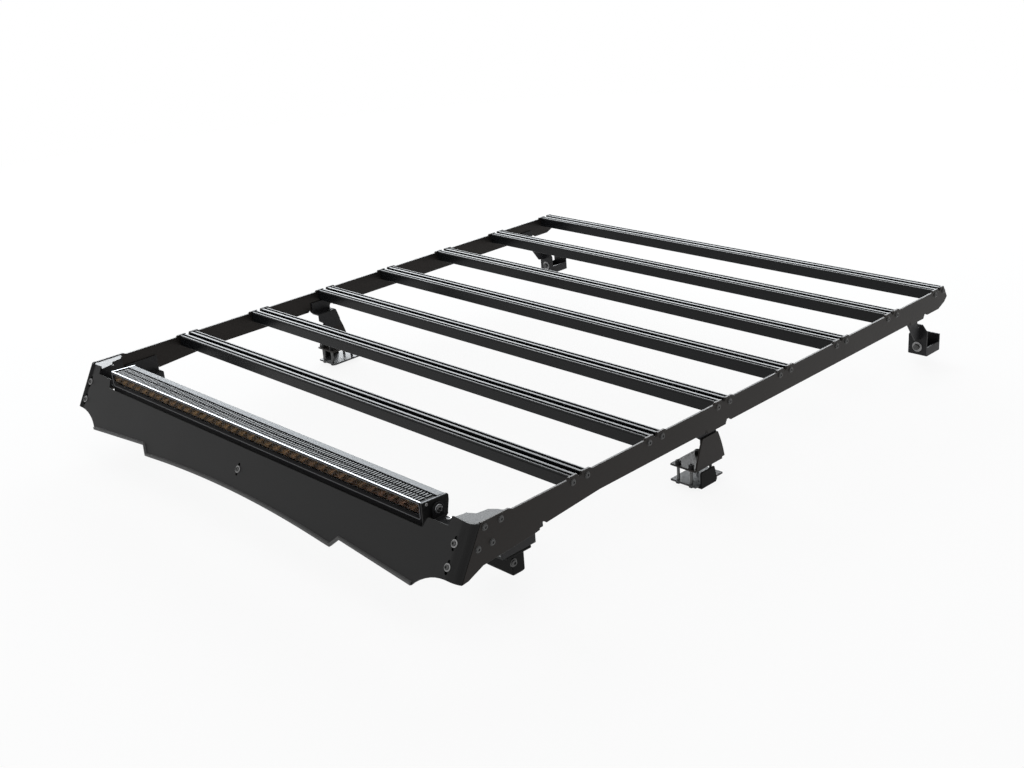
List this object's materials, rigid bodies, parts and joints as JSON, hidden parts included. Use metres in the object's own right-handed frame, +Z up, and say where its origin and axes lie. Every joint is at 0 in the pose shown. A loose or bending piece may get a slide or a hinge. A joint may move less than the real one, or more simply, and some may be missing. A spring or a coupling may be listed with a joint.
{
  "type": "flat platform roof rack",
  "caption": "Flat roof platform: slotted cross slats between side plates, a leaning front panel with an arched lower edge, a long light bar behind it, and clamp feet",
  "frame": {"origin": "Middle of the rack's footprint, at the level of the middle feet's undersides", "axes": "+X across the rack, to the right when it is seen from its front panel; +Y from the front panel to the rear; +Z up"},
  "size_m": [1.261, 1.5616, 0.191],
  "materials": {
    "slat_black": "satin powder coat",
    "rail_black": "satin powder coat",
    "fairing_black": "satin powder coat",
    "edge_trim_rubber": "matt moulded rubber",
    "bracket_black": "satin powder coat",
    "lamp_housing": "satin black coat",
    "lamp_lens": "clear",
    "lamp_reflector": "amber tinted, glossy",
    "lamp_cap": "matt black",
    "bolt_black": "black oxide",
    "foot_black": "satin powder coat",
    "foot_plate": "satin powder coat",
    "foot_saddle": "matt black"
  },
  "bodies": {
    "root": {"corner_bolts_left": "bolt_black", "corner_bolts_right": "bolt_black", "corner_bracket_left": "bracket_black", "corner_bracket_right": "bracket_black", "fairing_centre_bolt": "bolt_black", "fairing_edge_trim": "edge_trim_rubber", "fairing_panel": "fairing_black", "foot_bolts_left": "bolt_black", "foot_bolts_right": "bolt_black", "front_foot_block_left": "foot_black", "front_foot_block_right": "foot_black", "front_foot_hanger_left": "foot_black", "front_foot_hanger_right": "foot_black", "light_bar_arm_left": "bracket_black", "light_bar_arm_right": "bracket_black", "light_bar_bolts_left": "bolt_black", "light_bar_bolts_right": "bolt_black", "light_bar_end_cap_left": "lamp_cap", "light_bar_end_cap_right": "lamp_cap", "light_bar_housing": "lamp_housing", "light_bar_lens": "lamp_lens", "light_bar_reflectors": "lamp_reflector", "middle_foot_bolts_left": "bolt_black", "middle_foot_bolts_right": "bolt_black", "middle_foot_hanger_left": "foot_black", "middle_foot_hanger_right": "foot_black", "middle_foot_plate_left": "foot_plate", "middle_foot_plate_right": "foot_plate", "middle_foot_riser_left": "foot_black", "middle_foot_riser_right": "foot_black", "middle_foot_saddle_left": "foot_saddle", "middle_foot_saddle_right": "foot_saddle", "rear_foot_cup_left": "foot_black", "rear_foot_cup_right": "foot_black", "rear_foot_plate_left": "foot_black", "rear_foot_plate_right": "foot_black", "side_rail_left": "rail_black", "side_rail_right": "rail_black", "slat_1": "slat_black", "slat_2": "slat_black", "slat_3": "slat_black", "slat_4": "slat_black", "slat_5": "slat_black", "slat_6": "slat_black", "slat_7": "slat_black", "slat_bolts_left": "bolt_black", "slat_bolts_right": "bolt_black"}
  },
  "joints": []
}
